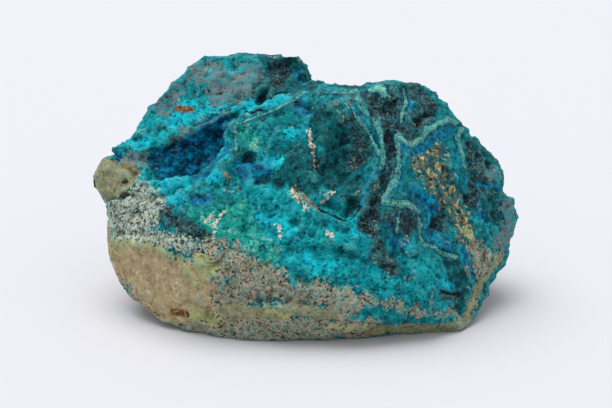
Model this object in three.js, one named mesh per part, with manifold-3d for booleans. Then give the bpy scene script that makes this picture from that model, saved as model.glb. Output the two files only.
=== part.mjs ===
// A chrysocolla hand specimen: one broken lump of copper ore, with a blue-green vein face in front,
// a deep blue hollow at the upper left and a foot of pale country rock at the lower left.
// Millimetres, +Z up. The origin is under the middle of the stone, on the flat break that it rests on.
// The vein face looks along -Y.

import * as THREE from "three";
import { ConvexGeometry } from "three/addons/geometries/ConvexGeometry.js";
import { ImprovedNoise } from "three/addons/math/ImprovedNoise.js";
import { TessellateModifier } from "three/addons/modifiers/TessellateModifier.js";
import { mergeVertices } from "three/addons/utils/BufferGeometryUtils.js";
import Module from "manifold-3d";

// Driving dimensions.
const WIDTH = 100; // the stone's width, left to right
const UNIT = WIDTH / 100; // every corner below is given in hundredths of the width
const LONGEST_EDGE = 5 * UNIT; // the skin is divided until no edge is longer
const BREAK_DEPTH = 1.3 * UNIT; // how far the broken skin wanders from its flat joints
const BREAK_LENGTH = 8 * UNIT; // the length of its coarsest waves
const BREAK_OCTAVES = 3; // each finer wave is half as long and half as deep
const BASE_EDGE = 4 * UNIT; // the wandering fades out over this height above the base
const BALL_DETAIL = 2; // how round the balls are that scoop out the hollows
const SPLIT_ROUNDS = 20; // more than enough to halve every long edge
const WELD = 0.001 * UNIT; // points closer than this are one point

// The stone broke along flat joints, so each of its lumps is the hull of a few corners.
// A corner is [right, back, up], with the front at minus.
const LUMPS = {
  // The middle of the vein face: a ridge along the top, and a front that slopes down to a belt.
  middle: [
    [-15.7, -8, 45.7], [-8, -6, 49.6], [-1.4, -3, 51.6], [11.4, -6, 52.3], [14, -9, 49.5], // ridge
    [16, -18, 37.5], [14, -25, 24], // arris down the front
    [-17.5, -15, 36.3], [-25.6, -19, 29.2], [-32.5, -17, 25.3], // edge above the hollow's floor
    [-19.6, -27, 16.3], [-20, -26, 10], [-1.3, -31, 11.6], [16, -30, 8], // belt
    [25, -26.5, 12], [29, -24, 6], // belt, right of the arris
    [-22.8, -22, 0], [-14, -26, 0], [5.4, -25.5, 0], [20, -23.5, 0], [24, 24, 0], [-12, 24, 0], // base
    [4, 14, 49.5], [18, 20, 46], [6, 26, 42], [-10, 26, 34], // back
  ],
  // The right end, beyond the gully.
  right_end: [
    [13, -2, 51], [20.8, 2, 53], [28, 6, 51.8], [35, 7, 43.6], [45.8, 6, 34.5], // shoulder
    [52.3, 4, 19], [48.5, -2, 10], // tip
    [21, -15, 40.5], [19, -21.5, 31], [26, -27, 13], [30, -25, 6.5], // face
    [5.4, -25.5, 0], [37, -19.5, 0], [41, 8, 0], [34, 24, 0], [12, 25, 0], // base
    [20, 14, 49.5], [31, 22, 34], [39, 22, 12], [6, 26, 42], // back
  ],
  // The back slab: it leans behind the middle, with an arris down its front.
  slab: [
    [-41, 4, 36.5], [-41, 1, 32], [-36.5, 8, 44.5], // left edge
    [-24.3, 14, 56], [-10.3, 10, 55.4], [-2, 16, 57], [2, 18, 49.5], // top
    [-12, 2, 47], [-24.3, -1, 42.2], [-37, 0, 36], // ledge over the hollow
    [-38, 20, 38], [-20, 29, 44], [4, 28, 38], [2, 28, 12], [-26, 27, 14], [-40, 14, 20], // back
  ],
  // The floor of the valley between slab and middle.
  valley: [
    [2, 8, 50], [-5, 2, 47.5], [-12, -3, 45], [-16.5, -9, 41], // front, along the ridge
    [-26, -11, 32.5], [-36, -8, 28], [-44, -1, 28], // front, under the hollow
    [-8, 12, 50], [2, 18, 49], [-20, 14, 42], [-40, 10, 33], [-30, 10, 10], [0, 0, 20], // back
  ],
  // The foot: pale country rock that bulges at the lower left.
  foot: [
    [-46.3, -2, 24.4], [-32.5, -17, 25.3], [-25.6, -19, 29.2], [-24, -8, 31], // top
    [-46.5, -5, 17], [-26.5, -23, 21.8], [-19.6, -27, 16.3], [-20, -26, 10], // bulge
    [-44.5, -7, 8.5], [-37, -15, 3], [-26.5, -21.5, 0.4], [-22.8, -22, 0], // underside
    [-8, -20, 0], [-4, 6, 30], [-10, 23, 0], [-24, 23, 2.5], [-36, 16, 4], [-42, 8, 12], // back
  ],
  // The lip at the slab's left end, above the knob.
  lip: [
    [-46, 4, 36], [-43, 6, 37], [-44.5, 1, 32.5], [-39.6, -3, 29.5], // front
    [-36, -1, 33], [-36, 8, 30], [-36, 8, 38], // back
  ],
  // The knob that juts out beside the hollow.
  knob: [
    [-49.2, 4, 28.6], [-48, 6, 33], [-46.2, 2, 22.5], [-44.5, -1.5, 31], [-41, -3, 23],
    [-45, 12, 31], [-37, 7, 35], [-36, 6, 21], [-47, 10, 24],
  ],
};

// Each hollow is scooped out by a stretched ball, from one end to the other, with its own half width.
const HOLLOWS = {
  blue_hollow: { from: [-37, -3.5, 33], to: [-15, -3.5, 42], half: 6.5 },
  blue_slope: { from: [-28.5, -13.5, 31.5], to: [-15.5, -10, 46.5], half: 4.8 },
  shell_scoop: { from: [10, -12, 52], to: [8, -29, 33], half: 9 },
  gully: { from: [21.5, -5, 58], to: [20, -27, 34], half: 6.4 },
  blue_pocket: { from: [33, -19.5, 37], to: [35, -24, 17], half: 9 },
  shoulder_scoop: { from: [19, -11, 50], to: [36, -5, 45], half: 5 },
  right_notch: { from: [52, -5, 27], to: [52, 13, 27], half: 4 },
  back_scoop: { from: [-6, 31, 44], to: [20, 34, 18], half: 9 },
  back_step: { from: [-46, 22, 30], to: [-24, 34, 22], half: 6 },
};

const wasm = await Module();
wasm.setup();

const corner = (point) => new THREE.Vector3(...point).multiplyScalar(UNIT);

function solidOf(geometry) {
  geometry.deleteAttribute("normal");
  geometry.deleteAttribute("uv");
  const merged = mergeVertices(geometry);
  const vertProperties = merged.attributes.position.array;
  const triVerts = new Uint32Array(merged.index.array);
  return new wasm.Manifold(new wasm.Mesh({ numProp: 3, vertProperties, triVerts }));
}

function geometryOf(solid) {
  const { vertProperties, triVerts } = solid.getMesh();
  return new THREE.BufferGeometry()
    .setAttribute("position", new THREE.BufferAttribute(vertProperties, 3))
    .setIndex(new THREE.BufferAttribute(triVerts, 1));
}

function lump(corners) {
  return solidOf(new ConvexGeometry(corners.map(corner)));
}

function hollow({ from, to, half }) {
  const [start, end] = [corner(from), corner(to)];
  const along = end.clone().sub(start);
  const place = new THREE.Matrix4().compose(
    start.clone().lerp(end, 0.5),
    new THREE.Quaternion().setFromUnitVectors(new THREE.Vector3(1, 0, 0), along.clone().normalize()),
    new THREE.Vector3(along.length() / 2, half * UNIT, half * UNIT),
  );
  return solidOf(new THREE.IcosahedronGeometry(1, BALL_DETAIL).applyMatrix4(place));
}

// The rough block: all lumps joined, then the hollows cut.
function roughBlock() {
  const joined = Object.values(LUMPS).map(lump).reduce((block, next) => block.add(next));
  return Object.values(HOLLOWS).map(hollow).reduce((block, next) => block.subtract(next), joined);
}

// How far the broken skin wanders from its flat joints at a point. The base stays flat.
const noise = new ImprovedNoise();
function wander(point) {
  const shift = new THREE.Vector3();
  for (let octave = 0; octave < BREAK_OCTAVES; octave++) {
    const finer = 2 ** octave;
    const { x, y, z } = point.clone().multiplyScalar(finer / BREAK_LENGTH);
    const wave = new THREE.Vector3(noise.noise(x, y, z), noise.noise(y, z, x), noise.noise(z, x, y));
    shift.addScaledVector(wave, BREAK_DEPTH / finer);
  }
  shift.z *= THREE.MathUtils.smoothstep(point.z, 0, BASE_EDGE);
  return shift;
}

// The skin: the rough block finely divided, with every point wandering a little.
function brokenSkin(block) {
  const divided = new TessellateModifier(LONGEST_EDGE, SPLIT_ROUNDS).modify(geometryOf(block));
  const skin = mergeVertices(divided, WELD);
  const points = skin.attributes.position;
  const point = new THREE.Vector3();
  for (let i = 0; i < points.count; i++) {
    point.fromBufferAttribute(points, i);
    point.add(wander(point));
    points.setXYZ(i, point.x, point.y, point.z);
  }
  skin.computeBoundingBox();
  const middle = skin.boundingBox.getCenter(new THREE.Vector3());
  skin.translate(-middle.x, -middle.y, 0);
  skin.computeVertexNormals();
  return skin;
}

function specimen() {
  const stone = new THREE.MeshStandardMaterial({ color: 0x1f6f76, roughness: 0.75, metalness: 0 });
  const mesh = new THREE.Mesh(brokenSkin(roughBlock()), stone);
  mesh.name = "stone";
  return mesh;
}

const part = new THREE.Group();
part.name = "chrysocolla_specimen";
part.add(specimen());

export default part;
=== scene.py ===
# %% [markdown]
# # A chrysocolla hand specimen
#
# Chrysocolla is a soft blue-green copper mineral that fills cracks in rock. This specimen is one broken
# lump: a blue-green face with pale ribbons, a dark blue hollow, and a foot of tan country rock.
# The solid comes from the CAD model. This lesson gives it a broken skin, paints the minerals, and sets
# up the studio.

# %% The frame
import math
import random

import bpy
import numpy as np
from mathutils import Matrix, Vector, noise


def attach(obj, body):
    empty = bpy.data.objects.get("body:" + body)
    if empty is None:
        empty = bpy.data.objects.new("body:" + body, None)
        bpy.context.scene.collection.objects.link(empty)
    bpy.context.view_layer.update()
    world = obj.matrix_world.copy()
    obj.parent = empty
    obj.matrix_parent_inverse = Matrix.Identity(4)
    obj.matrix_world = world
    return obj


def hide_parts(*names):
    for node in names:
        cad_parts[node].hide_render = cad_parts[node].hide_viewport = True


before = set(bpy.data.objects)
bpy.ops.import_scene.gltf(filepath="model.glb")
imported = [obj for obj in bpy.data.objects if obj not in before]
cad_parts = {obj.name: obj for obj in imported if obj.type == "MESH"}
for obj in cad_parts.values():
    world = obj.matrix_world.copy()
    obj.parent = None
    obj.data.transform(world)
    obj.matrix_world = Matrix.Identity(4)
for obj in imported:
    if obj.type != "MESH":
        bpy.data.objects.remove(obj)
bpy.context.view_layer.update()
MM = 0.001

# %% [markdown]
# ## The camera
#
# The camera comes first, because the minerals are placed by the pixels where the photo shows them.
# The photo looks along +Y and a little down, with a long lens that keeps the stone free of distortion.

# %% The camera
IMAGE_WIDTH = 612
IMAGE_HEIGHT = 408
LENS = 85.0
SENSOR = 36.0
LOOKING_DOWN = math.radians(18)
CAMERA_DISTANCE = 338 * MM
AIM = Vector((-0.6 * MM, 0, 24 * MM))

view_back = Vector((0, -math.cos(LOOKING_DOWN), math.sin(LOOKING_DOWN)))
bpy.ops.object.camera_add(
    location=AIM + CAMERA_DISTANCE * view_back,
    rotation=(math.pi / 2 - LOOKING_DOWN, 0, 0),
)
camera = bpy.context.object
camera.name = "photo_camera"
camera.data.lens = LENS
camera.data.sensor_width = SENSOR
bpy.context.scene.camera = camera
print("camera at", [round(place / MM) for place in camera.location], "mm")

# %% [markdown]
# ## The stone's skin
#
# The CAD solid has the right lumps and hollows, but its triangles are millimetres wide. A voxel remesh
# lays an even net of half-millimetre faces over a copy of it, and smoothing melts the old triangles'
# creases. The even net can then be broken up like real rock.

# %% The stone's skin
VOXEL = 0.53 * MM
MELT_ROUNDS = 3

bpy.ops.object.select_all(action="DESELECT")
stone = bpy.data.objects.new("stone_skin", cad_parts["stone"].data.copy())
bpy.context.scene.collection.objects.link(stone)
stone.select_set(True)
bpy.context.view_layer.objects.active = stone
bpy.ops.object.mode_set(mode="EDIT")
bpy.ops.mesh.select_all(action="SELECT")
bpy.ops.mesh.remove_doubles(threshold=0.001 * MM)
bpy.ops.object.mode_set(mode="OBJECT")

voxels = stone.modifiers.new("voxels", "REMESH")
voxels.mode = "VOXEL"
voxels.voxel_size = VOXEL
bpy.ops.object.modifier_apply(modifier=voxels.name)
melt = stone.modifiers.new("melt", "SMOOTH")
melt.iterations = MELT_ROUNDS
bpy.ops.object.modifier_apply(modifier=melt.name)
stone.data.materials.clear()
print("skin:", len(stone.data.vertices), "vertices")

# %% [markdown]
# ## Reading and moving the skin
#
# A net of ninety thousand vertices is too slow to move one by one in Python. Blender can hand all of them
# over as one array, so four short helpers read and move the whole skin at once, in mm.


# %% Reading and moving the skin
def skin_points():
    """The skin's vertices in mm, one row each."""
    flat = np.zeros(len(stone.data.vertices) * 3)
    stone.data.vertices.foreach_get("co", flat)
    return flat.reshape(-1, 3) / MM


def skin_normals():
    """The skin's outward directions, one row for each vertex."""
    flat = np.zeros(len(stone.data.vertices) * 3)
    stone.data.vertices.foreach_get("normal", flat)
    return flat.reshape(-1, 3)


def move_skin(points):
    """Moves the skin's vertices to places given in mm, and never below the base."""
    points[:, 2] = np.maximum(points[:, 2], 0)
    stone.data.vertices.foreach_set("co", (points * MM).ravel())
    stone.data.update()


def raise_skin(heights):
    """Moves every vertex outwards by its own height in mm."""
    move_skin(skin_points() + skin_normals() * heights[:, None])


# %% [markdown]
# ## Marks placed from the photo
#
# Each mineral is a list of brush strokes. A stroke has a reach in mm and a route. A place on the route
# with two numbers is a photo pixel, found on the stone by a ray from the camera. A place with three
# numbers is in mm, for the sides that the photo doesn't show. Distance to the route is measured in
# space, so the marks run round edges as real minerals do.

# %% From pixels to the stone
FOCAL = LENS / SENSOR * IMAGE_WIDTH
FINE_STEP = 5.0  # pixels


def stone_place(spot):
    """The place on the stone, in mm, that a photo pixel shows. A place in mm goes to the nearest skin.
    A pixel just past the outline takes the nearest place on the outline."""
    if len(spot) == 3:
        away = np.linalg.norm(skin_points() - np.array(spot), axis=1)
        return skin_points()[away.argmin()]
    right = (spot[0] - IMAGE_WIDTH / 2) / FOCAL
    up = (IMAGE_HEIGHT / 2 - spot[1]) / FOCAL
    ray = (camera.rotation_euler.to_matrix() @ Vector((right, up, -1))).normalized()
    hit, place, _, _ = stone.ray_cast(camera.location, ray)
    if hit:
        return np.array(place) / MM
    arms = skin_points() - np.array(camera.location) / MM
    nearness = arms @ np.array(ray) / np.linalg.norm(arms, axis=1)
    print("pixel", spot, "is just outside the stone")
    return skin_points()[nearness.argmax()]


def fine_steps(route):
    """The same route with more places between, so that it stays on the skin."""
    fine = [route[0]]
    for start, end in zip(route, route[1:]):
        length = math.dist(start, end)
        pieces = max(1, round(length / FINE_STEP)) if len(start) == len(end) == 2 else 1
        for piece in range(1, pieces + 1):
            share = piece / pieces
            fine.append(tuple(one + (other - one) * share for one, other in zip(start, end)))
    return fine


def distance_to(points, route):
    """Distance in mm from each point to a route of straight steps."""
    places = [stone_place(spot) for spot in route]
    nearest = np.full(len(points), np.inf)
    for start, end in zip(places, places[1:] or places):
        step = end - start
        along = np.clip((points - start) @ step / max(step @ step, 1e-9), 0, 1)
        away = np.linalg.norm(points - start - along[:, None] * step, axis=1)
        nearest = np.minimum(nearest, away)
    return nearest


FAR = 9.0  # mm past which a mark no longer counts


def depth_inside(points, strokes):
    """How far each point is inside the nearest stroke, in mm. Outside it is negative."""
    depth = np.full(len(points), -FAR)
    for reach, route in strokes.values():
        depth = np.maximum(depth, reach - distance_to(points, route))
    return depth


# %% [markdown]
# ## The minerals
#
# The blue-green minerals, the dark matrix and the tan country rock lie in patches that run into each
# other. Painting a picture over the stone would stretch on its sides, so each patch is a few strokes
# along the skin. Later minerals in the table lie over earlier ones.

# %% The minerals' strokes
MINERALS = {
    "turquoise": {
        "lower_centre": (6.5, [(262, 232), (300, 240), (340, 250), (372, 262)]),
        "centre": (4.5, [(250, 190), (284, 200), (330, 215)]),
        "low_right": (4.5, [(400, 284), (430, 280), (446, 300)]),
        "hollow_left": (3.0, [(150, 180), (160, 196)]),
        "slab_left": (4.5, [(136, 132), (150, 116), (160, 130)]),
        "back": (9.0, [(-8, 27, 30), (14, 26, 34)]),
        "back_low": (6.0, [(26, 24, 14), (32, 20, 24)]),
    },
    # Dark teal, partly the rock's own colour and partly painted shade: the slab's right face, the stone's
    # right side, the scoop and the band below the facet edge are painted darker where they turn from the
    # light or lie sunk.
    "dusk": {
        "scoop": (4.6, [(330, 118), (340, 140), (346, 160), (330, 172)]),
        "scoop_low": (2.6, [(352, 186), (356, 202)]),
        "slab_right": (5.4, [(280, 64), (292, 76), (300, 90), (272, 94)]),
        "top_strip": (2.0, [(316, 86), (340, 86), (360, 88)]),
        "right_rim": (4.0, [(484, 150), (492, 176), (484, 205), (506, 214)]),
        "right_low": (2.6, [(456, 262), (462, 284), (458, 304)]),
        "front_upper": (3.4, [(246, 163), (270, 172), (300, 156), (306, 180)]),
        "back_left": (9.0, [(-26, 27, 30), (-34, 22, 34)]),
        "back_top": (7.0, [(6, 26, 46), (20, 22, 44)]),
    },
    "emerald": {
        "facet": (2.0, [(244, 132), (252, 140)]),
        "left_front": (3.6, [(205, 214), (222, 226), (236, 214)]),
        "left_low": (2.6, [(246, 232), (256, 246), (268, 256)]),
        "back_top": (7.0, [(24, 16, 44), (34, 14, 36)]),
    },
    "cyan": {
        "slab_patch": (1.6, [(172, 122), (184, 117), (200, 110)]),
        "slab_patch_top": (1.0, [(170, 99), (178, 102), (194, 105)]),
        "slab_top": (1.2, [(220, 70), (232, 74), (236, 80)]),
        "slab_low": (1.3, [(130, 142), (142, 148), (150, 140)]),
        "slab_edge": (1.0, [(208, 104), (214, 112), (230, 103)]),
        "valley": (1.4, [(236, 108), (252, 105), (270, 103), (288, 98)]),
        "ridge_side": (0.8, [(250, 112), (266, 108)]),
        "hollow_floor": (1.7, [(166, 184), (182, 186), (198, 180), (214, 176)]),
        "hollow_left": (1.4, [(164, 196), (180, 200)]),
        "blue_slope": (2.0, [(227, 144), (225, 158), (212, 171), (196, 182), (178, 192)]),
        "front_patch": (1.5, [(262, 158), (276, 162)]),
        "shelf": (1.1, [(290, 132), (304, 130)]),
        "centre_patch": (1.4, [(264, 218), (280, 219), (291, 229)]),
        "centre_low": (1.5, [(356, 222), (358, 232)]),
        "front_low": (0.9, [(306, 258), (316, 268), (338, 262)]),
        "right_low": (1.2, [(442, 286), (452, 288)]),
        "back_patch": (3.0, [(-2, 29, 36), (8, 28, 40)]),
    },
    "cerulean": {
        "patch": (2.5, [(414, 197), (428, 200), (434, 214), (432, 232)]),
        "patch_low": (1.6, [(436, 240), (448, 246)]),
        "patch_left": (1.4, [(392, 222), (396, 238), (406, 244)]),
        "top_right": (2.0, [(408, 102), (411, 116)]),
        "hollow_rim": (1.2, [(223, 138), (229, 149), (223, 160), (209, 169), (194, 176)]),
        "front_upper": (1.8, [(240, 166), (252, 172), (264, 170)]),
        "right_rings": (1.0, [(478, 196), (479, 212), (486, 222)]),
        "slab_right": (1.2, [(298, 74), (303, 84)]),
        "right_edge": (1.4, [(466, 250), (472, 272)]),
        "back_band": (2.0, [(2, 27, 22), (14, 25, 18), (24, 26, 20)]),
    },
    "slate": {
        "slab_upper": (4.0, [(205, 74), (228, 84), (248, 76), (224, 96)]),
        "slab_left": (2.0, [(178, 92), (162, 108)]),
        "slab_low": (1.5, [(222, 106), (234, 98)]),
        "slab_ledge": (1.4, [(170, 144), (186, 136), (206, 126), (222, 116)]),
        "right_rim": (2.6, [(508, 205), (513, 222), (500, 242)]),
        "right_upper": (2.0, [(478, 172), (494, 174)]),
        "centre_shelf": (1.2, [(352, 97), (338, 100)]),
        "knob_side": (2.0, [(128, 160), (140, 162)]),
        "back_middle": (8.0, [(-14, 28, 14), (0, 27, 10)]),
    },
    "matrix": {
        "top_right": (3.8, [(374, 100), (392, 96), (394, 118), (384, 112)]),
        "between_ribbons": (2.4, [(389, 128), (390, 150), (391, 165), (384, 182), (374, 200), (368, 224)]),
        "upper_ledge": (3.0, [(414, 90), (428, 104), (418, 128), (408, 132)]),
        "below_corner": (2.6, [(396, 216), (404, 226), (410, 216)]),
        "right_of_blue": (1.5, [(442, 196), (443, 214), (441, 228)]),
        "low_centre": (1.7, [(376, 236), (380, 256), (392, 268)]),
        "scoop_smudge": (2.0, [(352, 118), (360, 138), (364, 152), (352, 164)]),
        "beside_speckle": (1.8, [(160, 206), (176, 222), (200, 236), (214, 250)]),
        "slab_right": (2.0, [(282, 66), (276, 84)]),
        "right_side": (2.2, [(472, 150), (480, 178), (472, 200)]),
        "low_right": (1.4, [(442, 296), (456, 298)]),
        "back_right": (8.0, [(30, 20, 32), (36, 16, 20)]),
    },
    "navy": {
        "hollow": (3.9, [(166, 164), (180, 160), (196, 148), (212, 146), (190, 166)]),
        "hollow_top": (2.2, [(205, 132), (222, 124)]),
        "pits": (1.4, [(298, 104), (306, 112)]),
        "dark_spot": (1.4, [(198, 201), (206, 200)]),
        "notch": (1.2, [(113, 154), (122, 163)]),
    },
    "grit": {
        "matrix_face": (3.5, [(226, 262), (246, 270), (266, 284), (240, 290)]),
        "matrix_low": (2.6, [(285, 292), (320, 296), (350, 304)]),
        "matrix_left": (2.2, [(212, 248), (218, 280), (224, 296)]),
        "right_low": (2.2, [(468, 240), (480, 252), (488, 262), (474, 270)]),
        "bottom_rim": (4.0, [(190, 322), (228, 326), (270, 330), (320, 331), (362, 330)]),
        "below_foot": (6.5, [(128, 262), (150, 276), (172, 296), (200, 296)]),
        "foot_underside": (3.0, [(134, 296), (152, 310), (172, 320)]),
        "sparse_low": (0.8, [(330, 286), (372, 300), (420, 312), (452, 312)]),
        "sparse_left": (0.6, [(208, 240), (236, 246), (262, 266), (300, 280)]),
        "base": (14.0, [(-20, -8, 0), (0, 2, 0), (24, 2, 0)]),
        "back_foot": (7.0, [(-22, 26, 12), (-6, 27, 6), (14, 26, 6), (32, 22, 4)]),
        "right_foot": (4.0, [(44, 12, 4), (40, -6, 2)]),
    },
    "ochre": {
        "upper": (3.0, [(436, 146), (424, 160), (440, 170), (432, 178)]),
        "lower": (2.7, [(446, 188), (456, 204), (462, 218), (468, 232)]),
    },
    "tan": {
        "foot_face": (5.2, [(124, 262), (146, 258), (164, 270), (150, 288), (163, 298)]),
        "foot_right": (4.2, [(182, 274), (198, 284), (196, 302), (178, 308)]),
        "foot_back": (12.0, [(-42, 4, 12), (-36, 12, 8), (-26, 14, 4)]),
        "foot_under": (8.0, [(-32, -8, 2), (-24, -12, 0)]),
    },
    "olive": {
        "knob": (4.0, [(101, 172), (106, 184), (118, 182), (124, 176)]),
        "knob_back": (6.0, [(-47, 8, 28)]),
        "rim_streak": (1.9, [(226, 310), (262, 312), (300, 312), (335, 316)]),
        "right_rim": (1.3, [(466, 324), (469, 310), (478, 288), (490, 270), (501, 256)]),
        "low_right_rim": (2.0, [(372, 331), (400, 328), (430, 329), (461, 326)]),
        "foot_side": (5.0, [(-45, 8, 20), (-42, 14, 16)]),
    },
    "speckle": {
        "left_face": (4.4, [(117, 213), (133, 216), (148, 209), (136, 202)]),
        "above_foot": (1.7, [(118, 232), (150, 238), (178, 243), (200, 250)]),
        "beside_hollow": (1.4, [(134, 190), (146, 196), (154, 204)]),
        "left_back": (6.0, [(-46, 6, 19)]),
    },
    "lime": {
        "foot_top_edge": (0.8, [(110, 243), (130, 244), (147, 247), (166, 251), (184, 260)]),
        "foot_patch": (1.6, [(199, 260), (203, 272), (211, 268)]),
        "foot_side": (0.8, [(176, 256), (190, 268), (198, 284)]),
        "bottom_patch": (2.0, [(196, 314), (213, 318)]),
        "rim_patch": (0.9, [(267, 309), (284, 314)]),
        "rim_streak": (0.7, [(332, 328), (357, 329)]),
        "rim_spot": (0.7, [(364, 326), (366, 327)]),
        "ochre_end": (0.9, [(464, 230), (472, 235)]),
    },
}

for mineral, strokes in MINERALS.items():
    print(mineral, len(strokes), "strokes")

# %% [markdown]
# ## The veins
#
# Veins are thin and long: the pale ribbons, blue lines beside them, cream and rusty streaks, and open
# cracks. They are strokes too, with half their width in mm as the reach.

# %% The veins' routes
VEINS = {
    "ribbon": {
        "twin_outer": (
            0.5,
            [(355, 92), (359, 104), (367, 113), (376, 124), (381, 136), (382, 150), (384, 158), (380, 169)],
        ),
        "twin_inner": (0.32, [(351, 104), (358, 118), (368, 132), (375, 144), (379, 155)]),
        "corner_down": (
            0.48,
            [(396, 136), (398, 150), (399, 163), (398, 175), (393, 185), (387, 194), (383, 201)],
        ),
        "corner_across": (0.68, [(384, 202), (395, 203), (407, 204), (415, 207)]),
        "corner_tail": (
            0.5,
            [(415, 207), (419, 214), (420, 227), (420, 237), (424, 245), (433, 247), (442, 252), (458, 258)],
        ),
        "ledge": (
            0.65,
            [(398, 136), (406, 141), (415, 145), (423, 138), (430, 129), (440, 123), (452, 120), (457, 123)],
        ),
        "right": (0.5, [(462, 128), (458, 137), (461, 146), (464, 158), (466, 167)]),
        "top_triangle": (0.9, [(372, 90), (382, 88), (383, 95)]),
        "top_thin": (0.3, [(404, 88), (406, 96), (406, 104), (402, 112), (402, 121)]),
        "ridge": (0.18, [(237, 123), (262, 115), (284, 105), (305, 93), (320, 91), (336, 93), (354, 93)]),
        "ridge_corner": (0.24, [(236, 126), (235, 138), (237, 150)]),
        "low_thin": (0.25, [(401, 208), (398, 223), (397, 233)]),
        "low_stroke": (0.45, [(432, 293), (431, 310)]),
        "back_long": (
            0.6,
            [(-32, 24, 38), (-26, 27, 36), (-20, 29, 32), (-14, 29, 31), (-8, 28, 27), (-2, 27, 27),
             (4, 26, 30), (10, 25, 29), (16, 24, 25), (22, 24, 24), (28, 24, 26), (33, 21, 24)],
        ),
        "back_short": (
            0.5,
            [(10, 26, 42), (13, 25, 38), (18, 24, 34), (21, 24, 29), (22, 24, 24), (21, 25, 19),
             (24, 25, 14)],
        ),
    },
    "blue_line": {
        "twin_between": (0.5, [(354, 106), (363, 118), (372, 130), (378, 142)]),
        "twin_end": (0.5, [(380, 169), (375, 175), (368, 180)]),
        "under_ledge": (1.0, [(404, 146), (416, 151), (427, 146), (438, 136), (453, 130)]),
        "right_strand": (0.55, [(458, 142), (459, 160), (464, 176), (470, 187)]),
        "right_across": (0.5, [(478, 184), (490, 186), (499, 187)]),
        "corner_side": (0.5, [(403, 165), (402, 178), (396, 188)]),
        "right_low": (0.55, [(466, 244), (468, 257), (473, 272), (475, 281)]),
        "scoop_edge": (0.45, [(368, 180), (364, 195), (362, 206)]),
        "back": (0.8, [(-24, 28, 30), (-18, 28, 28), (-12, 28, 26), (-6, 27, 23), (0, 27, 23)]),
    },
    "cream_line": {
        "crack": (0.35, [(308, 130), (311, 141), (315, 155), (318, 170)]),
        "streak": (0.5, [(292, 190), (299, 200), (306, 208)]),
        "shelf_streak": (0.3, [(322, 202), (330, 195), (333, 192)]),
        "fleck": (0.25, [(275, 225), (280, 228), (280, 238)]),
        "low_fleck": (0.4, [(328, 233), (332, 236)]),
        "left_fleck": (0.3, [(206, 222), (212, 214), (216, 226)]),
        "left_veinlet": (0.15, [(214, 240), (216, 222), (226, 210)]),
    },
    "rust_line": {
        "shelf": (0.3, [(294, 186), (303, 196), (315, 207)]),
        "foot_stain": (0.9, [(173, 312), (186, 314)]),
        "foot_spot": (0.3, [(178, 256), (181, 258)]),
        "front_spot": (0.1, [(223, 172), (231, 181), (240, 190)]),
        "slab_lens": (0.75, [(177, 108), (190, 109)]),
    },
    "crack": {
        "shelf_edge": (0.25, [(361, 206), (353, 217), (344, 220), (330, 214), (318, 208)]),
        "low_right": (0.2, [(440, 291), (452, 294), (464, 293)]),
        "knob": (0.2, [(118, 183), (128, 181)]),
        "valley": (0.4, [(246, 112), (254, 111), (262, 110)]),
    },
}
for kind, routes in VEINS.items():
    print(kind, len(routes), "routes")

# %% [markdown]
# ## Flat breaks
#
# The stone broke along flat joints, and the largest of them show as plane faces with crisp edges. Each is
# an outline of photo pixels. A plane is fitted to the skin at the outline's corners, and the skin inside
# the outline is pressed onto it.

# %% Flat breaks
FACES = {
    "slab_front": [
        (204, 59), (258, 63), (266, 66), (250, 88), (242, 103), (206, 124),
        (170, 145), (136, 150), (128, 142), (142, 118), (162, 95), (182, 78),
    ],
    "slab_right": [(268, 64), (284, 54), (293, 55), (307, 72), (308, 80), (294, 92), (270, 102), (247, 104)],
    "ridge_facet": [
        (237, 130), (264, 118), (284, 106), (302, 95), (308, 116), (300, 131), (268, 145), (239, 150),
    ],
    "upper_front": [(242, 156), (268, 152), (300, 140), (308, 160), (300, 188), (270, 194), (248, 180)],
    "foot_front": [
        (110, 247), (136, 249), (164, 255), (184, 268), (189, 288), (176, 305), (150, 301), (128, 284),
    ],
    "foot_right": [(190, 270), (213, 282), (221, 306), (197, 317), (180, 308), (193, 290)],
    "left_face": [(109, 203), (132, 195), (156, 212), (188, 239), (150, 239), (111, 237)],
    "knob_front": [(96, 170), (112, 168), (132, 175), (127, 186), (112, 200), (97, 189)],
    "top_right": [(401, 88), (423, 87), (443, 105), (447, 114), (424, 123), (405, 129)],
    "ochre_face": [
        (422, 150), (450, 133), (461, 160), (475, 200), (481, 235), (463, 229), (441, 190), (424, 171),
    ],
    "right_face": [(464, 133), (493, 149), (499, 180), (497, 197), (479, 204), (468, 180)],
    "lower_front": [(262, 238), (330, 242), (398, 264), (418, 290), (360, 299), (300, 288), (271, 262)],
    "grey_band": [(215, 258), (260, 272), (320, 298), (358, 311), (300, 311), (231, 304)],
    "low_right": [(441, 264), (468, 267), (488, 269), (473, 292), (463, 320), (441, 316)],
}
FACE_FLATNESS = 0.85  # the share of the way to the plane that the skin moves
FACE_EDGE = 5.0  # pixels inside the outline where the full press starts
FACE_REACH = 3.5  # skin further than this from the plane, in mm, belongs to another face


def photo_pixels(points):
    """The photo pixels that show places given in mm."""
    seen = (points * MM - np.array(camera.location)) @ np.array(camera.rotation_euler.to_matrix())
    across = IMAGE_WIDTH / 2 - FOCAL * seen[:, 0] / seen[:, 2]
    down = IMAGE_HEIGHT / 2 + FOCAL * seen[:, 1] / seen[:, 2]
    return np.stack([across, down], axis=1)


def depth_in_outline(pixels, outline):
    """How many pixels each pixel is inside an outline. Outside it is negative."""
    nearest = np.full(len(pixels), np.inf)
    within = np.zeros(len(pixels), bool)
    corners = np.array(outline, float)
    for start, end in zip(corners, np.roll(corners, -1, axis=0)):
        step = end - start
        along = np.clip((pixels - start) @ step / (step @ step), 0, 1)
        nearest = np.minimum(nearest, np.linalg.norm(pixels - start - along[:, None] * step, axis=1))
        level = (start[1] > pixels[:, 1]) != (end[1] > pixels[:, 1])
        rise = step[1] if step[1] else 1.0
        within ^= level & (pixels[:, 0] < start[0] + (pixels[:, 1] - start[1]) * step[0] / rise)
    return np.where(within, nearest, -nearest)


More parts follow.
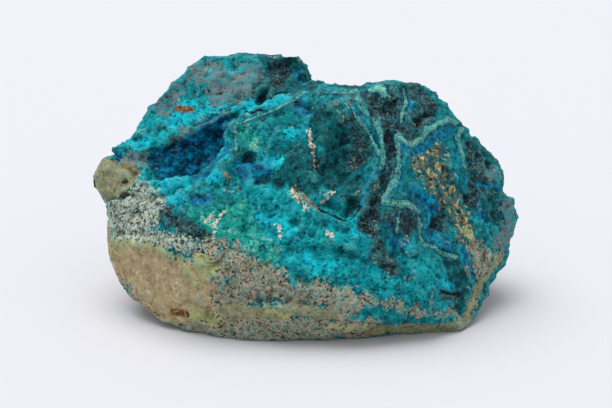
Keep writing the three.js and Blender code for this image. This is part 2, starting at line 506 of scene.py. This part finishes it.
for name, outline in FACES.items():
    unpressed = skin_points()
    rim = np.array([stone_place(spot) for spot in outline])
    middle = rim.mean(axis=0)
    outwards = np.linalg.svd(rim - middle)[2][2]
    off_plane = (unpressed - middle) @ outwards
    press = np.clip(depth_in_outline(photo_pixels(unpressed), outline) / FACE_EDGE, 0, 1) * FACE_FLATNESS
    press[np.abs(off_plane) > FACE_REACH] = 0
    move_skin(unpressed - (off_plane * press)[:, None] * outwards)
    print(name, "moved up to", round(np.abs(off_plane * press).max(), 1), "mm")

# %% [markdown]
# ## Ledges and pockets
#
# Some steps and pockets are too small for the CAD solid, but they catch the light. Each is a stroke that
# raises the skin, or sinks it where the height is below zero.

# %% Ledges and pockets
RELIEF = {
    "gully": (
        -1.0, 2.2,
        [(392, 100), (390, 128), (391, 150), (391, 166), (384, 182), (374, 200), (367, 228)],
    ),
    "twin_rim": (0.3, 1.6, [(355, 92), (367, 113), (376, 124), (381, 140), (382, 158)]),
    "corner_rim": (
        0.35, 1.8,
        [(397, 138), (399, 163), (397, 178), (386, 196), (384, 202), (407, 204), (418, 212)],
    ),
    "ledge_rim": (0.55, 2.0, [(400, 138), (415, 146), (424, 139), (432, 129), (450, 120)]),
    "above_ledge": (-1.89, 2.6, [(402, 126), (415, 131), (424, 122), (436, 112)]),
    "blue_pocket": (-0.87, 3.2, [(412, 196), (427, 202), (433, 216), (431, 234)]),
    "ochre_ridge": (0.58, 2.4, [(432, 176), (447, 192), (456, 206), (464, 222)]),
    "right_ring": (-0.72, 2.2, [(472, 160), (474, 180), (478, 205), (486, 220)]),
    "shelf_lip": (1.0, 1.9, [(318, 212), (332, 219), (345, 224), (356, 218), (364, 206)]),
    "shelf_pocket": (-1.45, 2.2, [(318, 202), (332, 207), (345, 211), (354, 204)]),
    "crack_wall": (-0.6, 1.4, [(313, 134), (317, 152), (322, 172)]),
    "facet_edge": (0.35, 1.3, [(237, 128), (237, 150), (262, 148), (286, 141), (306, 128)]),
    "under_facet": (-1.1, 2.2, [(248, 160), (268, 158), (290, 149)]),
    "front_pocket": (-0.7, 2.4, [(256, 176), (280, 182), (296, 186)]),
    "centre_pocket": (-0.8, 2.0, [(268, 212), (284, 214), (296, 222)]),
    "ridge_pits": (-1.74, 2.0, [(298, 103), (308, 109)]),
    "ridge_crest": (0.3, 1.2, [(284, 105), (305, 93), (336, 93), (355, 93)]),
    "knob_notch": (-1.0, 1.8, [(112, 153), (122, 163), (134, 171)]),
    "under_knob": (-0.3, 1.6, [(110, 197), (124, 197), (134, 192)]),
    "foot_edge": (0.45, 1.6, [(110, 243), (130, 243), (150, 246), (172, 252)]),
    "above_foot": (-0.4, 2.2, [(118, 234), (148, 238), (178, 244)]),
    "foot_corner": (0.9, 2.4, [(170, 254), (184, 266), (194, 282), (200, 300)]),
    "right_edge": (0.5, 1.4, [(467, 322), (470, 308), (478, 288), (490, 270), (501, 256)]),
    "bottom_groove": (-0.25, 1.8, [(230, 303), (262, 304), (300, 302), (340, 306), (372, 316)]),
    "lens": (-0.2, 1.4, [(176, 108), (190, 109)]),
}


def fractal(points, size, octaves):
    """Smooth random heights of about -1 to 1, with lumps of a given size in mm."""
    return np.array([noise.fractal(Vector(point) / size, 1.0, 2.0, octaves) for point in points])


def bump_shape(away, reach):
    """1 on a stroke and 0 past its reach, round between."""
    return np.clip(1 - (away / reach) ** 2, 0, 1) ** 2


BASE_FADE = 2.5  # mm above the base where the skin may move fully
RELIEF_BREAKS = 3.5  # mm from one break along a ledge to the next
RELIEF_SHARE = 0.8  # the mean strength along a stroke
RELIEF_LIMITS = (0.2, 1.6)  # the weakest and the strongest place
flat_skin = skin_points()
off_base = np.clip(flat_skin[:, 2] / BASE_FADE, 0, 1)
relief = np.zeros(len(flat_skin))
for rise, reach, route in RELIEF.values():
    relief += rise * bump_shape(distance_to(flat_skin, route), reach)
relief *= np.clip(RELIEF_SHARE + fractal(flat_skin, RELIEF_BREAKS, 3), *RELIEF_LIMITS)
zones = {mineral: depth_inside(flat_skin, strokes) for mineral, strokes in MINERALS.items()}
veins = {}
for kind, routes in VEINS.items():
    fine = {name: (half_width, fine_steps(route)) for name, (half_width, route) in routes.items()}
    veins[kind] = depth_inside(flat_skin, fine)
raise_skin(relief * off_base)
print("relief from", round(relief.min(), 2), "to", round(relief.max(), 2), "mm")

# %% [markdown]
# ## Breaking the skin
#
# A broken rock face is made of small flat faces that meet in crisp edges. Noise first lifts the skin into
# lumps. Then large balls are pressed into the lumps, and each leaves a shallow scoop. At last every few
# millimetres of skin tilts its own way. The foot broke more smoothly, so all of this is weaker there.

# %% Breaking the skin
SEED = 7  # without a seed of its own, the noise module's vectors follow the clock
random.seed(SEED)
noise.seed_set(SEED)
LUMP_SIZE = 5.0
LUMP_HEIGHT = 0.45
CHIPS = 1800  # chips that are tried
CHIP_BALL = (12.0, 70.0)  # the balls' smallest and largest radius in mm
CHIP_SINK = (0.08, 0.5)  # how deep a ball is pressed in
CHIP_TILT = 0.1
DEEPEST_BITE = 1.9  # a ball that bites deeper than this many times its sink is left out
CALM_SHARE = 0.7  # how much smoother the pale rock is
CALM_EDGE = 3  # mm over which it turns rough


def inside(depth, soft):
    """1 inside a mark and 0 outside, with a soft edge in mm."""
    return np.clip(depth / soft + 0.5, 0, 1)


pale_rock = np.maximum(inside(zones["tan"], CALM_EDGE), inside(zones["olive"], CALM_EDGE))
calm = 1 - CALM_SHARE * pale_rock
raise_skin(fractal(flat_skin, LUMP_SIZE, 4) * LUMP_HEIGHT * calm * off_base)

broken = skin_points()
facing = skin_normals()
made = 0
for spot in random.sample(range(len(broken)), CHIPS):
    ball = random.uniform(*CHIP_BALL)
    sink = random.uniform(*CHIP_SINK) * calm[spot]
    tilt = np.array([random.gauss(0, CHIP_TILT) for _ in range(3)])
    away = facing[spot] + tilt
    centre = broken[spot] + away / np.linalg.norm(away) * (ball - sink)
    arms = broken - centre
    length = np.linalg.norm(arms, axis=1)
    if ball - length.min() > DEEPEST_BITE * sink:
        continue
    pressed = (length < ball) & (off_base == 1)
    broken[pressed] = centre + arms[pressed] / length[pressed, None] * ball
    made += 1
move_skin(broken)
print(made, "chips")

# %% [markdown]
# ## Small tilted faces
#
# Between the scoops the rock is hackly: every few millimetres a small face tilts its own way. Voronoi
# cells, each with a random slope, give flat faces that meet in edges, which plain noise can't. The blue
# hollow is lined with round bumps like grapes. The ribbons stand a little proud, and the cracks are sunk.

# %% Small tilted faces, bumps in the hollow and proud veins
HACKLE_SIZES = (3.8, 1.9)
HACKLE_SLOPE = 0.3
GRAIN_SIZE = 1.3
GRAIN_HEIGHT = 0.14
BUMP_SIZE = 2.8
BUMP_HEIGHT = 0.9
BUMP_MIDDLE = 0.6  # the part of a bump's height that lies below the old skin
HOLLOW_EDGE = 2
RIBBON_PROUD = 0.06
CRACK_SUNK = 0.5
VEIN_WALL = 0.5  # mm over which a vein's side slopes
SLOPE_SHUFFLE = 3.7  # spreads neighbouring faces over unlike slopes
BUMP_STEEPNESS = 1.6


def hackle(points, size):
    """Heights in mm of small flat faces that tilt each their own way."""
    heights = []
    for point in points:
        spot = Vector(point) / size
        middle = noise.voronoi(spot)[1][0]
        heights.append(noise.noise_vector(middle * SLOPE_SHUFFLE).dot(spot - middle) * size)
    return np.array(heights)


def grapes(points, size):
    """Heights of 0 to 1 with round tops, like a bunch of grapes."""
    nearest = np.array([noise.voronoi(Vector(point) / size)[0][0] for point in points])
    return np.sqrt(np.clip(1 - nearest * nearest * BUMP_STEEPNESS, 0, 1))


hollow = inside(zones["navy"], HOLLOW_EDGE)
heights = sum(hackle(flat_skin, size) for size in HACKLE_SIZES) * HACKLE_SLOPE * calm * (1 - hollow)
heights += fractal(flat_skin, GRAIN_SIZE, 3) * GRAIN_HEIGHT * calm
heights += hollow * (grapes(flat_skin, BUMP_SIZE) - BUMP_MIDDLE) * BUMP_HEIGHT
heights += inside(veins["ribbon"], VEIN_WALL) * RIBBON_PROUD
heights -= inside(veins["crack"], VEIN_WALL) * CRACK_SUNK
raise_skin(heights * off_base)
print("heights from", round(heights.min(), 2), "to", round(heights.max(), 2), "mm")

# %% [markdown]
# ## Crests and pits
#
# The material paints a highlight on the crests and shade in the pits, so it has to know which is which. A
# copy of the skin's points is smoothed, and a vertex that stands outside its smoothed place is on a crest.

# %% Crests and pits
CREST_ROUNDS = 10


def smoothed(points):
    """The skin's points after each has moved to the middle of its neighbours several times."""
    pairs = np.zeros(len(stone.data.edges) * 2, int)
    stone.data.edges.foreach_get("vertices", pairs)
    one, other = pairs[::2], pairs[1::2]
    count = np.bincount(pairs, minlength=len(points))
    for _ in range(CREST_ROUNDS):
        total = np.stack(
            [
                np.bincount(one, axis[other], len(points)) + np.bincount(other, axis[one], len(points))
                for axis in points.T
            ],
            axis=1,
        )
        points = total / count[:, None]
    return points


finished = skin_points()
crest = ((finished - smoothed(finished)) * skin_normals()).sum(axis=1)
print("crests up to", round(crest.max(), 2), "mm, pits down to", round(crest.min(), 2), "mm")

# %% [markdown]
# ## Marks kept on the skin
#
# The material can't call Python, so each vertex keeps its depth inside every mineral and vein as a named
# attribute. The shader reads them back by name.


# %% Marks kept on the skin
def keep_mark(name, values):
    """Stores one number for each vertex, which the material reads by name."""
    kept = stone.data.attributes.new(name, "FLOAT", "POINT")
    kept.data.foreach_set("value", np.asarray(values, np.float32))


for name, values in {**zones, **veins, "crest": crest}.items():
    keep_mark(name, values)
print("marks:", len(stone.data.attributes))


# %% [markdown]
# ## Shader maths
#
# A material is a net of nodes. A small class holds one node's output and lets Python's own signs add
# Math nodes, so that a pattern reads as a formula.

# %% Shader maths
class Wire:
    """The output of a shader node. Sums on it add Math nodes."""

    def __init__(self, socket):
        self.socket = socket

    def node(self, kind, settings, inputs, output=0):
        """Adds a node with these settings and inputs, and gives one of its outputs."""
        tree = self.socket.id_data
        made = tree.nodes.new(kind)
        for name, value in settings.items():
            if name == "stops":
                set_stops(made.color_ramp, value)
            else:
                setattr(made, name, value)
        for name, value in inputs.items():
            if isinstance(value, Wire):
                tree.links.new(value.socket, made.inputs[name])
            else:
                made.inputs[name].default_value = value
        return Wire(made.outputs[output])

    def sum(self, operation, first, second):
        """Adds one Math node."""
        return self.node("ShaderNodeMath", {"operation": operation}, {0: first, 1: second})

    def __add__(self, other):
        return self.sum("ADD", self, other)

    def __sub__(self, other):
        return self.sum("SUBTRACT", self, other)

    def __rsub__(self, other):
        return self.sum("SUBTRACT", other, self)

    def __mul__(self, other):
        return self.sum("MULTIPLY", self, other)

    __radd__ = __add__
    __rmul__ = __mul__


def set_stops(ramp, stops):
    """Gives a colour ramp its stops, each a place from 0 to 1 and a colour."""
    while len(ramp.elements) > 1:
        ramp.elements.remove(ramp.elements[-1])
    ramp.elements[0].position, ramp.elements[0].color = stops[0]
    for place, colour in stops[1:]:
        ramp.elements.new(place).color = colour


# %% [markdown]
# ## The rock's patterns
#
# Up close the rock is a mix of tiny grains, and from further off it is cloudy. A few patterns make every
# colour below: slow drifts, clouds, and grains that each have a value of their own. They read the
# object's own coordinates, so they run on round every edge.

# %% Patterns
skin_material = bpy.data.materials.new("chrysocolla_rock")
skin_material.use_nodes = True
tree = skin_material.node_tree
shader = tree.nodes["Principled BSDF"]
here = Wire(tree.nodes.new("ShaderNodeTexCoord").outputs["Object"])


def cloud(size, detail, rough, output="Fac"):
    """Random values of 0 to 1 in lumps of a given size in mm."""
    inputs = {"Vector": here, "Scale": 1 / (size * MM), "Detail": detail, "Roughness": rough}
    return here.node("ShaderNodeTexNoise", {}, inputs, output)


def cells(size):
    """One random value of 0 to 1 for each mineral grain of a given size in mm."""
    swirl = cloud(size * 0.8, 2, 0.5, "Color")
    spread = (size * 1.2 * MM,) * 3
    spot = here.node("ShaderNodeVectorMath", {"operation": "MULTIPLY_ADD"}, {0: swirl, 1: spread, 2: here})
    grains = here.node("ShaderNodeTexVoronoi", {}, {"Vector": spot, "Scale": 1 / (size * MM)}, "Color")
    return here.node("ShaderNodeSeparateColor", {}, {0: grains}, "Red")


def ease(value, low, high):
    """0 at low, 1 at high, and a smooth change between."""
    settings = {"interpolation_type": "SMOOTHSTEP"}
    return here.node("ShaderNodeMapRange", settings, {"Value": value, "From Min": low, "From Max": high})


def mix(mask, under, over, blend="MIX"):
    """Lays one colour over another where the mask is 1."""
    settings = {"data_type": "RGBA", "blend_type": blend}
    return here.node("ShaderNodeMix", settings, {0: mask, 6: under, 7: over}, 2)


def mark(name):
    """A number kept on the skin."""
    return here.node("ShaderNodeAttribute", {"attribute_name": name}, {}, "Fac")


def linear(red, green, blue):
    """A colour as a screen shows it, 0 to 255, made ready for light sums."""
    parts = [channel / 255 for channel in (red, green, blue)]
    return [((part + 0.055) / 1.055) ** 2.4 if part > 0.04 else part / 12.92 for part in parts] + [1]


def ramp(value, stops):
    """Colours along a value. Each stop is a place from 0 to 1 and a screen colour."""
    stops = [(spot, linear(*tone)) for spot, tone in stops]
    return here.node("ShaderNodeValToRGB", {"stops": stops}, {0: value})


wander = cloud(2.8, 6, 0.65)
drift = cloud(7.0, 3, 0.5)
mottle = cloud(1.3, 8, 0.72)
crumb = cloud(0.45, 4, 0.7)
grain = cells(0.42)
cloudy = mottle * 0.44 + cloud(2.2, 6, 0.6) * 0.4 + grain * 0.1 + drift * 0.06
grainy = mottle * 0.42 + grain * 0.42 + drift * 0.16
stony = mottle * 0.5 + grain * 0.26 + cloud(1.9, 5, 0.62) * 0.24
pebbly = mottle * 0.4 + cells(0.8) * 0.34 + grain * 0.12 + drift * 0.14

# %% [markdown]
# ## The minerals' colours
#
# Each mineral has a wobble and a fray in mm, a pattern, and its colours along the pattern. The wobble
# bends the mineral's outline and the fray scatters grains across it, because these minerals grew through
# each other. They are laid in the order of the table over a plain teal.

# %% The minerals' colours
LAYERS = {
    "turquoise": (3.0, 1.6, cloudy, [
        (0.36, (0, 56, 68)), (0.43, (0, 104, 116)), (0.5, (2, 142, 150)),
        (0.57, (10, 172, 178)), (0.66, (70, 192, 188)),
    ]),
    # The dark teal layer, partly painted shade.
    "dusk": (3.0, 1.6, cloudy, [
        (0.34, (2, 24, 32)), (0.44, (4, 54, 62)), (0.51, (6, 86, 92)),
        (0.58, (8, 112, 116)), (0.68, (60, 134, 128)),
    ]),
    "emerald": (3.0, 1.6, cloudy, [
        (0.36, (2, 76, 78)), (0.44, (4, 122, 116)), (0.51, (14, 152, 142)),
        (0.57, (60, 172, 156)), (0.63, (190, 196, 166)),
    ]),
    "cyan": (2.2, 0.9, cloudy, [
        (0.36, (0, 84, 116)), (0.43, (0, 138, 164)), (0.5, (0, 176, 192)), (0.62, (24, 206, 212)),
    ]),
    "cerulean": (2.0, 1.2, cloudy, [
        (0.36, (0, 36, 60)), (0.44, (0, 80, 112)), (0.51, (0, 116, 150)), (0.6, (6, 158, 188)),
    ]),
    "slate": (6.0, 1.2, cloudy, [
        (0.36, (20, 70, 78)), (0.42, (72, 102, 106)), (0.47, (116, 126, 128)), (0.51, (96, 126, 128)),
        (0.55, (16, 138, 146)), (0.61, (10, 166, 174)), (0.68, (110, 166, 162)),
    ]),
    "matrix": (2.6, 1.6, grainy, [
        (0.3, (12, 18, 22)), (0.42, (34, 42, 46)), (0.52, (58, 60, 60)),
        (0.58, (14, 76, 88)), (0.66, (22, 112, 120)), (0.74, (116, 110, 98)),
    ]),
    "navy": (1.2, 1.2, cloudy, [
        (0.38, (0, 24, 40)), (0.46, (0, 62, 94)), (0.53, (0, 108, 148)), (0.61, (0, 154, 192)),
    ]),
    "grit": (4.2, 1.8, stony, [
        (0.32, (32, 42, 50)), (0.4, (90, 96, 88)), (0.46, (154, 140, 116)), (0.52, (180, 162, 136)),
        (0.57, (124, 148, 130)), (0.62, (48, 134, 128)), (0.67, (140, 150, 130)), (0.74, (220, 208, 182)),
    ]),
    "ochre": (2.6, 3.0, pebbly, [
        (0.32, (24, 40, 42)), (0.4, (72, 78, 70)), (0.46, (16, 116, 126)), (0.52, (62, 104, 98)),
        (0.58, (112, 106, 84)), (0.65, (180, 148, 86)), (0.71, (214, 206, 154)),
    ]),
    "tan": (2.0, 1.8, cloudy, [
        (0.36, (104, 90, 68)), (0.44, (150, 132, 102)), (0.5, (168, 150, 116)),
        (0.56, (180, 168, 130)), (0.64, (208, 200, 164)),
    ]),
    "olive": (1.4, 1.4, cloudy, [(0.36, (98, 102, 74)), (0.5, (138, 138, 106)), (0.64, (172, 168, 134))]),
    "speckle": (2.4, 1.6, stony, [
        (0.32, (30, 40, 56)), (0.41, (76, 92, 98)), (0.49, (140, 156, 144)),
        (0.6, (182, 190, 164)), (0.72, (206, 206, 178)),
    ]),
    "lime": (1.2, 1.5, cloudy, [(0.36, (134, 142, 92)), (0.52, (164, 168, 116)), (0.66, (198, 196, 146))]),
}
TEAL = [
    (0.36, (0, 46, 56)), (0.43, (0, 82, 92)), (0.49, (2, 114, 122)),
    (0.56, (8, 148, 154)), (0.66, (70, 170, 164)),
]
EDGE = 0.3  # mm over which one mineral turns into the next

colour = ramp(cloudy, TEAL)
for mineral, (wobble, fray, pattern, stops) in LAYERS.items():
    depth = mark(mineral) + (wander - 0.5) * (wobble * 2) + (grain - 0.5) * fray
    colour = mix(ease(depth, -EDGE, EDGE), colour, ramp(pattern, stops))
print(len(LAYERS), "layers of colour")

# %% [markdown]
# ## Veins and flecks
#
# The pale ribbons grew layer by layer from the walls of a crack. Thin lines at even depths show the
# layers, both in the ribbons and in the dark rock beside them. A dark blue seam edges each ribbon.

# %% Veins and flecks
LAYERS_PER_MM = 1.15
VEIN_EDGE = 0.12  # mm over which a vein's colour fades


def vein(name, wobble, fray):
    """Where a thin vein runs. The wobble and the fray are in mm."""
    depth = mark(name) + (wander - 0.5) * (wobble * 2) + (grain - 0.5) * fray
    return ease(depth, -VEIN_EDGE, VEIN_EDGE)


ribbon_depth = mark("ribbon") + (wander - 0.5) * 0.6
turns = ribbon_depth * (LAYERS_PER_MM * 2 * math.pi)
growth = ease(turns.node("ShaderNodeMath", {"operation": "SINE"}, {0: turns}), 0.3, 0.9)

seam = ramp(mottle, [(0.4, (4, 30, 42)), (0.5, (4, 62, 84)), (0.6, (6, 96, 120))])
colour = mix(ease(ribbon_depth, -1.1, -0.2) * 0.6, colour, seam)
beside = ease(ribbon_depth, -4.5, -1.0) * ease(drift, 0.38, 0.55)
colour = mix(growth * beside * 0.6, colour, linear(34, 116, 122))
colour = mix(vein("crack", 0.2, 0.3), colour, linear(8, 18, 22))
colour = mix(vein("blue_line", 0.5, 0.5), colour, ramp(mottle, [(0.4, (0, 70, 100)), (0.6, (0, 138, 170))]))
JADE = [(0.34, (44, 128, 124)), (0.5, (90, 174, 158)), (0.66, (144, 202, 184))]
jade = ramp(mottle * 0.7 + grain * 0.3, JADE)
colour = mix(vein("ribbon", 0.2, 0.1), colour, mix(growth * 0.65, jade, linear(16, 96, 102)))
cream = ramp(grainy, [(0.36, (84, 84, 76)), (0.48, (168, 156, 130)), (0.6, (222, 214, 190))])
colour = mix(vein("cream_line", 0.7, 0.8), colour, cream)
rust = ramp(grainy, [(0.36, (70, 52, 42)), (0.52, (118, 82, 56)), (0.64, (172, 126, 84))])
colour = mix(vein("rust_line", 0.6, 0.6), colour, rust)

blue_green = 1 - ease(mark("tan"), -1.5, 0.0)
clusters = ease(cloud(3.4, 4, 0.6), 0.57, 0.68)
pale_flecks = ease(grain, 0.8, 0.82) * clusters * blue_green
colour = mix(pale_flecks * 0.7, colour, linear(166, 168, 146))
dark_flecks = ease(grain, 0.16, 0.12) * blue_green * ease(mottle, 0.56, 0.44)
colour = mix(dark_flecks * 0.6, colour, linear(60, 84, 92), "MULTIPLY")

# %% [markdown]
# ## Edges, pits and gloss
#
# The crests get a painted highlight and the pits get painted shade. The rock is dull, with a little gloss on
# single grains.

# %% Edges, pits and gloss
# Painted shade: the pits are darkened.
colour = mix(ease(mark("crest"), -0.04, -0.4) * 0.6, colour, linear(60, 78, 84), "MULTIPLY")
# Painted highlight: the crests are lightened.
colour = mix(ease(mark("crest"), 0.05, 0.4) * 0.2, colour, linear(100, 184, 182))
tree.links.new(colour.socket, shader.inputs["Base Color"])
roughness = 0.45 + crumb * 0.3 + grain * 0.2
tree.links.new(roughness.socket, shader.inputs["Roughness"])
shader.inputs["Specular IOR Level"].default_value = 0.1
grit_height = crumb * 0.7 + mottle * 0.8 + grain * 0.25
bump = here.node("ShaderNodeBump", {}, {"Height": grit_height, "Strength": 0.55, "Distance": 0.4 * MM})
tree.links.new(bump.socket, shader.inputs["Normal"])

bpy.ops.object.select_all(action="DESELECT")
stone.select_set(True)
bpy.context.view_layer.objects.active = stone
bpy.ops.object.shade_smooth()
stone.data.materials.append(skin_material)
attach(stone, "root")
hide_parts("stone")
print("stone:", sum(len(face.vertices) - 2 for face in stone.data.polygons), "triangles")

# %% [markdown]
# ## The studio
#
# The photo was taken on pale paper under wide, soft light. A sun lamp with a large disc gives a soft
# shadow below the stone, and the plain world fills in the rest.

# %% The studio
FLOOR_SIZE = 8.0  # metres, so that its edge stays out of sight
PAPER = (205, 205, 210)
ROOM_TINT = (0.97, 0.98, 1.0, 1)
ROOM_LIGHT = 0.74
SUN_LIGHT = 2.4
SUN_DISC = math.radians(55)
LIGHT_FROM = Vector((-0.2, 0.15, 0.9))

bpy.ops.mesh.primitive_plane_add(size=FLOOR_SIZE)
floor = bpy.context.object
floor.name = "floor"
floor_material = bpy.data.materials.new("pale_paper")
floor_material.use_nodes = True
floor_shader = floor_material.node_tree.nodes["Principled BSDF"]
floor_shader.inputs["Base Color"].default_value = linear(*PAPER)
floor_shader.inputs["Roughness"].default_value = 0.9
floor_shader.inputs["Specular IOR Level"].default_value = 0.1
floor.data.materials.append(floor_material)

world = bpy.data.worlds.new("studio")
bpy.context.scene.world = world
world.use_nodes = True
backdrop = world.node_tree.nodes["Background"]
backdrop.inputs["Color"].default_value = ROOM_TINT
backdrop.inputs["Strength"].default_value = ROOM_LIGHT

bpy.ops.object.light_add(type="SUN")
key_light = bpy.context.object
key_light.name = "key_light"
key_light.rotation_euler = (-LIGHT_FROM).to_track_quat("-Z", "Y").to_euler()
key_light.data.angle = SUN_DISC
key_light.data.energy = SUN_LIGHT
bpy.context.scene.view_settings.view_transform = "Standard"
